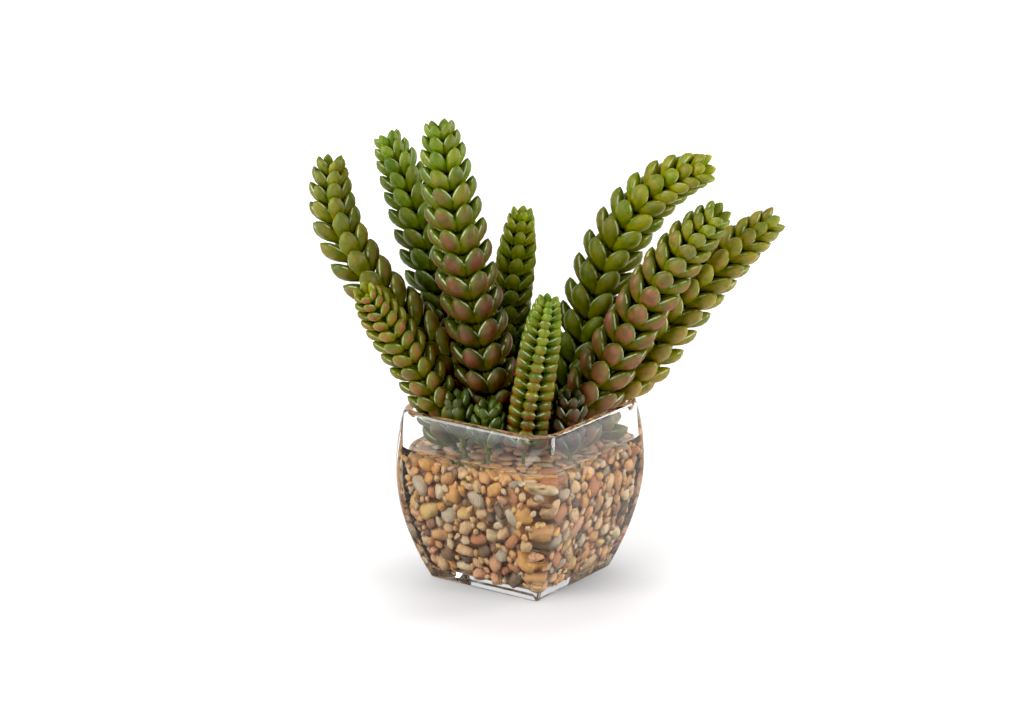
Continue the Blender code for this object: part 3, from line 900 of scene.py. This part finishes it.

# %% [markdown]
# ## Greens and blushes
#
# Each stem was dipped and sprayed by hand, so no two are the same green. A stem's paint is a body green, a
# blush colour, and how strong the blush is along the stem. The lime stem is the brightest. The two at the
# middle and right have a mauve blush on their older leaves, as real burro's tails get in strong sun. The
# short fillers, low under the other stems, are painted darker, partly as painted shade.

# %% Paint of each stem
PAINTS = {
    # body green low down, body green at the tip, blush, then blush strength at foot, middle and tip
    "front_lime": ((0.385, 0.36, 0.03), (0.45, 0.52, 0.04), (0.52, 0.19, 0.07), (0.95, 0.55, 0.0)),
    "front_left": ((0.36, 0.37, 0.04), (0.53, 0.53, 0.06), (0.58, 0.31, 0.20), (0.5, 0.5, 0.75)),
    "centre_tall": ((0.27, 0.25, 0.03), (0.46, 0.52, 0.06), (0.45, 0.25, 0.17), (0.75, 0.9, 0.0)),
    "right_middle": ((0.37, 0.33, 0.05), (0.49, 0.51, 0.07), (0.55, 0.33, 0.23), (0.95, 0.95, 0.1)),
    "left_tall": ((0.37, 0.355, 0.055), (0.47, 0.48, 0.07), (0.44, 0.25, 0.15), (0.85, 0.35, 0.1)),
    "right_tall": ((0.32, 0.36, 0.05), (0.59, 0.58, 0.08), (0.52, 0.42, 0.18), (0.05, 0.05, 0.35)),
    "right_outer": ((0.52, 0.47, 0.08), (0.53, 0.52, 0.09), (0.58, 0.42, 0.22), (0.6, 0.55, 0.25)),
    "back_short": ((0.42, 0.44, 0.05), (0.56, 0.58, 0.06), (0.40, 0.26, 0.12), (0.6, 0.2, 0.0)),
    "back_left": ((0.29, 0.34, 0.05), (0.45, 0.51, 0.07), (0.40, 0.27, 0.18), (0.6, 0.25, 0.0)),
    # The fillers stand low under the other stems. Their greens are darker: partly their own colour, partly
    # painted shade.
    "filler_left": ((0.20, 0.23, 0.04), (0.25, 0.29, 0.05), (0.36, 0.22, 0.14), (0.2, 0.2, 0.2)),
    "filler_middle": ((0.22, 0.26, 0.04), (0.28, 0.33, 0.05), (0.36, 0.22, 0.14), (0.1, 0.1, 0.1)),
    "filler_rim": ((0.20, 0.21, 0.04), (0.23, 0.26, 0.05), (0.32, 0.20, 0.12), (0.3, 0.3, 0.3)),
    "filler_right": ((0.17, 0.15, 0.035), (0.20, 0.20, 0.045), (0.33, 0.165, 0.11), (0.8, 0.8, 0.6)),
}
leaf_draw = np.random.default_rng(23)


def leaf_paint(name, height):
    """(body colour with blush strength, blush colour) for one leaf, a little different each time."""
    low, high, blush, strengths = PAINTS[name]
    share = height**1.8
    body = np.array(linear(low)) * (1 - share) + np.array(linear(high)) * share
    strength = np.interp(height, (0.2, 0.6, 0.95), strengths) + leaf_draw.uniform(-0.18, 0.18)
    body = body * leaf_draw.uniform(0.72, 1.04) * leaf_draw.uniform(0.93, 1.07, 3)
    warm = np.array(linear(blush)) * leaf_draw.uniform(0.72, 1.02)
    return (*body, min(max(strength, 0), 1)), (*warm, 1)


# %% [markdown]
# The finish of the leaves is soft matt plastic. The colour runs from a yellow-green foot to the body green,
# and pales at the point, in a bloom that is partly a painted highlight. The blush lies on the outer face and
# leaves a green margin. A fine pale line follows the edge, where the two halves of the mould met; it is also
# a painted highlight along the leaf's edges. A little light passes under the skin.


# %% Leaf finish
def leaf_finish():
    finish, tree, shader = new_finish("soft leaf plastic")
    body = add_node(tree, "ShaderNodeAttribute", attribute_name="leaf_body")
    warm = add_node(tree, "ShaderNodeAttribute", attribute_name="leaf_blush").outputs["Color"]
    place = add_node(tree, "ShaderNodeAttribute", attribute_name="leaf_place").outputs["Color"]
    along, edge, outer = add_node(tree, "ShaderNodeSeparateColor", [("Color", place)]).outputs[:3]
    foot = step_up(tree, along, 0.5, 0.05)
    foot_colour = mixed(tree, 0.4, body.outputs["Color"], linear((0.62, 0.64, 0.06)))
    colour = mixed(tree, foot, body.outputs["Color"], foot_colour)
    cloud = step_up(tree, object_noise(tree, 170, 3), 0.3, 0.7)
    face = times(tree, step_up(tree, along, 0.22, 0.55), step_up(tree, outer, 0.35, 0.75))
    face = times(tree, face, step_up(tree, along, 1.0, 0.84))
    face = times(tree, face, step_up(tree, edge, 0.98, 0.6))
    patchy = times(tree, plus(tree, cloud, 0.5), face)
    colour = mixed(tree, times(tree, patchy, body.outputs["Alpha"]), colour, warm)
    # A pale bloom at the point, partly a painted highlight on the leaf tips.
    bloom_and_sheen_patches = step_up(tree, object_noise(tree, 420, 2), 0.35, 0.65)
    bloom_and_highlight = times(tree, step_up(tree, along, 0.6, 1.0, 0.09), bloom_and_sheen_patches)
    colour = mixed(tree, bloom_and_highlight, colour, linear((0.66, 0.74, 0.50)))
    fine = step_up(tree, object_noise(tree, 1500, 2), 0.25, 0.8, 0.3)
    colour = mixed(tree, fine, colour, linear((0.20, 0.26, 0.06)), "MULTIPLY")
    deep = step_up(tree, object_noise(tree, 210, 2), 0.42, 0.66, 0.6)
    deep = times(tree, deep, step_up(tree, along, 0.2, 0.5))
    colour = mixed(tree, deep, colour, linear((0.62, 0.84, 0.62)), "MULTIPLY")
    # A pale line along the edge: the mould's seam, and a painted highlight along the leaf's edges.
    broken = step_up(tree, object_noise(tree, 260, 1), 0.38, 0.58, 0.6)
    seam_and_highlight = times(tree, step_up(tree, edge, 0.94, 0.985), broken)
    seam_and_highlight = times(tree, seam_and_highlight, step_up(tree, along, 0.2, 0.4))
    colour = mixed(tree, seam_and_highlight, colour, linear((0.80, 0.83, 0.70)))
    tree.links.new(colour, shader.inputs["Base Color"])
    shader.inputs["Roughness"].default_value = 0.37
    shader.inputs["Specular IOR Level"].default_value = 0.25
    shader.inputs["Subsurface Weight"].default_value = 0.18
    shader.inputs["Subsurface Radius"].default_value = (1.0, 1.1, 0.4)
    shader.inputs["Subsurface Scale"].default_value = 0.0016
    height = object_noise(tree, 700, 3)
    bump = add_node(tree, "ShaderNodeBump", [("Height", height), ("Strength", 0.18), ("Distance", 0.0003)])
    tree.links.new(bump.outputs["Normal"], shader.inputs["Normal"])
    return finish


leaf_plastic = leaf_finish()

# %% [markdown]
# ## Growing the stems
#
# A stem's sleeve is a soft tube that its leaves come out of. It swells at each whorl and has a waist between
# two. We draw it as we drew the pot: a circle extruded ring by ring along the route. Then a copy of the
# master leaf goes to each settled place. A leaf's foot is drawn down the stem, so that it overlaps the whorl
# below, and no leaf may leave the model's box.

# %% Sleeves and leaves
SLEEVE_SIDES = 12
PLUMP = (0.64, 0.47)  # a leaf's width and thickness, as shares of its length
FOOT_DROP = 0.34  # how far a leaf's foot reaches down the stem, as a share of its length
LIME_FOOT_DROP = 0.38
FOOT_SINK = 0.4  # how far the foot sinks into the sleeve, as a share of the sleeve's radius
WAIST = 0.62  # the sleeve's radius between two whorls, as a share of its radius at a whorl
PLUMPER = {  # the same on the stems whose leaves are plumper
    "front_lime": (0.72, 0.70),
    "filler_left": (0.66, 0.54),
    "filler_middle": (0.66, 0.54),
    "filler_right": (0.66, 0.54),
}


def tube_ring(stem, s, radius):
    centre, _, side, other = stem.frame(s)
    turns = [2 * math.pi * step / SLEEVE_SIDES for step in range(SLEEVE_SIDES)]
    return [Vector(centre + radius * (math.cos(a) * side + math.sin(a) * other)) * MM for a in turns]


def add_sleeve(shape, layers, stem, start, end, at_tip):
    """The tube from start to end along the route, closed at both ends, with a round end at the tip."""
    before = len(shape.verts)
    whorls = np.array(stem.whorls())
    stops = np.linspace(start, end, max(int((end - start) / 2.0), 2) + 1)
    ring = first_ring(shape, tube_ring(stem, stops[0], stem.sleeve_radius(stops[0]) * WAIST))
    shape.faces.new(ring[::-1])
    for s in stops[1:]:
        near = min(np.abs(whorls - s).min() / 3.2, 1)
        swell = WAIST + (1 - WAIST) * (0.5 + 0.5 * math.cos(math.pi * near))
        ring = next_ring(shape, ring, tube_ring(stem, s, stem.sleeve_radius(s) * swell))
    if at_tip:
        for share in (0.75, 0.35):
            radius = stem.sleeve_radius(end) * share
            ring = next_ring(shape, ring, tube_ring(stem, end, radius))
    shape.faces.new(ring)
    shape.verts.ensure_lookup_table()
    for vert in shape.verts[before:]:
        body, warm = leaf_paint(stem.branch.name, start / stem.branch.length)
        vert[layers["leaf_body"]] = body
        vert[layers["leaf_blush"]] = warm
        vert[layers["leaf_place"]] = (0.0, 0.0, 0.5, 1)


def drawn_line(stem, leaf):
    """The leaf's middle line by t: its foot is drawn down and into the sleeve, and its tip is a bit askew."""
    centre, axis, _, _ = stem.frame(leaf.height * stem.branch.length)
    share = LIME_FOOT_DROP if stem.branch.name == "front_lime" else FOOT_DROP
    foot = -axis * (share * leaf.length) - (leaf.root - centre) * FOOT_SINK
    tip = leaf.across * leaf_draw.normal(0, 0.045) * leaf.length
    tip = tip + axis * leaf_draw.uniform(0, 0.07) * leaf.length
    return lambda t: leaf.point(t) + foot * (1 - t) ** 2 + tip * t * t


def add_leaf(shape, layers, stem, leaf):
    """Bends a copy of the master leaf along the leaf's middle line."""
    line = drawn_line(stem, leaf)
    before = len(shape.verts)
    shape.from_mesh(leaf_mould)
    shape.verts.ensure_lookup_table()
    body, warm = leaf_paint(stem.branch.name, leaf.height)
    wide, thick = PLUMPER.get(stem.branch.name, PLUMP)
    width = wide * leaf.length * leaf_draw.uniform(0.95, 1.05) / 2
    thickness = thick * leaf.length * leaf_draw.uniform(0.95, 1.05) / 2
    for vert in shape.verts[before:]:
        x, y, t = vert.co
        along = line(t + 0.01) - line(t - 0.01)
        inner = np.cross(along / np.linalg.norm(along), leaf.across)
        spot = (line(t) + leaf.across * x * width + inner * y * thickness) * MM
        vert.co = np.clip(spot, *CAD_BOX)
        vert[layers["leaf_body"]] = body
        vert[layers["leaf_blush"]] = warm


def make_stem_part(name, stem, kept, start, end, at_tip):
    shape = bmesh.new()
    layers = {
        key: shape.verts.layers.float_color.new(key) for key in ("leaf_place", "leaf_body", "leaf_blush")
    }
    add_sleeve(shape, layers, stem, start, end, at_tip)
    for leaf in kept:
        add_leaf(shape, layers, stem, leaf)
    piece = finished(f"grown_{name}", shape, [leaf_plastic], sharp=180)
    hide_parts(name)


def grow(stem, kept):
    """Makes a stem's lower and upper part, or a filler's one part."""
    name = f"leaves_{stem.branch.name}"
    whorls = stem.whorls()
    start = max(stem.where_z(LEAVES_FROM) - 1.8, 0)
    end = stem.branch.length
    if stem.branch.short:
        make_stem_part(name, stem, kept.values(), start, end, True)
        return
    half = len(whorls) // 2
    joint = (whorls[half - 1] + whorls[half]) / 2
    lower = [leaf for (whorl, _), leaf in kept.items() if whorl < half]
    upper = [leaf for (whorl, _), leaf in kept.items() if whorl >= half]
    make_stem_part(f"{name}_lower", stem, lower, start, joint - 0.05, False)
    make_stem_part(f"{name}_upper", stem, upper, joint + 0.05, end, True)


for stem, kept in zip(stems, leaves_of):
    grow(stem, kept)

# %% [markdown]
# ## The stalks
#
# Below the leaves each stem is a bare green stalk that stands in the resin. The model's own stalks have the
# right shape, so they only get a finish: dull green plastic, faintly mottled.


# %% Stalk finish
def stalk_finish():
    finish, tree, shader = new_finish("stalk plastic")
    mottle = step_up(tree, object_noise(tree, 400, 3), 0.3, 0.7)
    colour = mixed(tree, mottle, linear((0.22, 0.29, 0.09)), linear((0.34, 0.38, 0.12)))
    tree.links.new(colour, shader.inputs["Base Color"])
    shader.inputs["Roughness"].default_value = 0.5
    return finish


stalk_plastic = stalk_finish()
for name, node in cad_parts.items():
    if name.startswith("stalk_"):
        node.data.materials.clear()
        node.data.materials.append(stalk_plastic)

# %% [markdown]
# ## Floor and light
#
# One large soft light stands at the front left and a smaller one at the front right. A tall box on the left
# and a narrow strip behind on the right draw the bright edges, and a broad light hangs overhead. The floor is
# white and glows a little, which is painted light. It glows less in a soft patch round a spot just before the
# pot, a painted soft shadow that keeps the plant's shade there. Pale walls stand all round with a dark band
# above them, because clear glass only shows where there is something bright and something dark for it to
# bend.
#
# The view is the plain one, with its black point raised a hair, so that the hollows between leaves go deep.

# %% Build the studio
floor_shape = bmesh.new()
bmesh.ops.create_grid(floor_shape, x_segments=1, y_segments=1, size=6.0)
floor_mesh = bpy.data.meshes.new("floor")
floor_shape.to_mesh(floor_mesh)
floor_shape.free()
PAINTED_SHADE_AT = 0.045  # the middle of the floor's soft shade, this far in front of the plant's axis
NEAR_GLOW = 0.38
FAR_GLOW = 0.55
glowing_floor, floor_tree, floor_shader = new_finish("glowing white floor")
floor_shader.inputs["Base Color"].default_value = (0.75, 0.73, 0.725, 1)
floor_shader.inputs["Roughness"].default_value = 0.8
floor_shader.inputs["Emission Color"].default_value = (1, 1, 1, 1)
floor_spot = add_node(floor_tree, "ShaderNodeTexCoord").outputs["Object"]
before_pot = to_front * PAINTED_SHADE_AT
distance = add_node(
    floor_tree, "ShaderNodeVectorMath", [(0, floor_spot), (1, before_pot)], operation="DISTANCE"
).outputs["Value"]
# The floor's glow is painted light. It is lower round the spot before the pot, which paints a soft shadow
# there.
near = step_up(floor_tree, distance, 0.03, 0.12, NEAR_GLOW)
far = step_up(floor_tree, distance, 0.3, 1.5, FAR_GLOW)
floor_tree.links.new(plus(floor_tree, near, far), floor_shader.inputs["Emission Strength"])
floor_mesh.materials.append(glowing_floor)
floor = bpy.data.objects.new("floor", floor_mesh)
floor.location.z = -0.0002
bpy.context.scene.collection.objects.link(floor)


def soft_light(name, sideways, forwards, height, size, watts):
    """An area light placed as seen from the camera, in metres, and aimed at the plant."""
    light = bpy.data.lights.new(name, "AREA")
    light.shape = "RECTANGLE"
    light.size, light.size_y = size
    light.energy = watts
    lamp = bpy.data.objects.new(name, light)
    lamp.location = to_right * sideways + to_front * forwards + up * height
    lamp.rotation_euler = (aim - lamp.location).to_track_quat("-Z", "Y").to_euler()
    bpy.context.scene.collection.objects.link(lamp)


soft_light("key", -1.25, 1.15, 1.1, (0.9, 1.6), 24)
soft_light("left_box", -1.5, 0.55, 0.6, (0.45, 1.1), 15)
soft_light("right_strip", 1.5, -0.55, 0.7, (0.2, 1.2), 10)
soft_light("fill", 1.45, 0.6, 0.5, (0.5, 0.95), 17)
soft_light("overhead", 0.0, -0.5, 3.0, (5.0, 5.0), 52)

world = bpy.data.worlds.new("studio")
world.use_nodes = True
tree = world.node_tree
direction = add_node(tree, "ShaderNodeTexCoord").outputs["Generated"]
height = add_node(tree, "ShaderNodeSeparateXYZ", [("Vector", direction)]).outputs["Z"]
PALE_WALL = (0.72, 0.72, 0.72)
DARK_BAND = (0.14, 0.14, 0.145)
CEILING = (0.40, 0.40, 0.41)
WALL_END = (0.42, 0.54)  # where one gives way to the next, as sines of the angle above the horizon
BAND_END = (0.75, 0.95)
walls = mixed(tree, step_up(tree, height, *WALL_END), PALE_WALL, DARK_BAND)
room = mixed(tree, step_up(tree, height, *BAND_END), walls, CEILING)
tree.links.new(room, tree.nodes["Background"].inputs["Color"])
tree.nodes["Background"].inputs["Strength"].default_value = 1.0
bpy.context.scene.world = world

view = bpy.context.scene.view_settings
view.view_transform = "Standard"
view.use_curve_mapping = True
view.curve_mapping.black_level = (0.007, 0.007, 0.007)
view.curve_mapping.update()
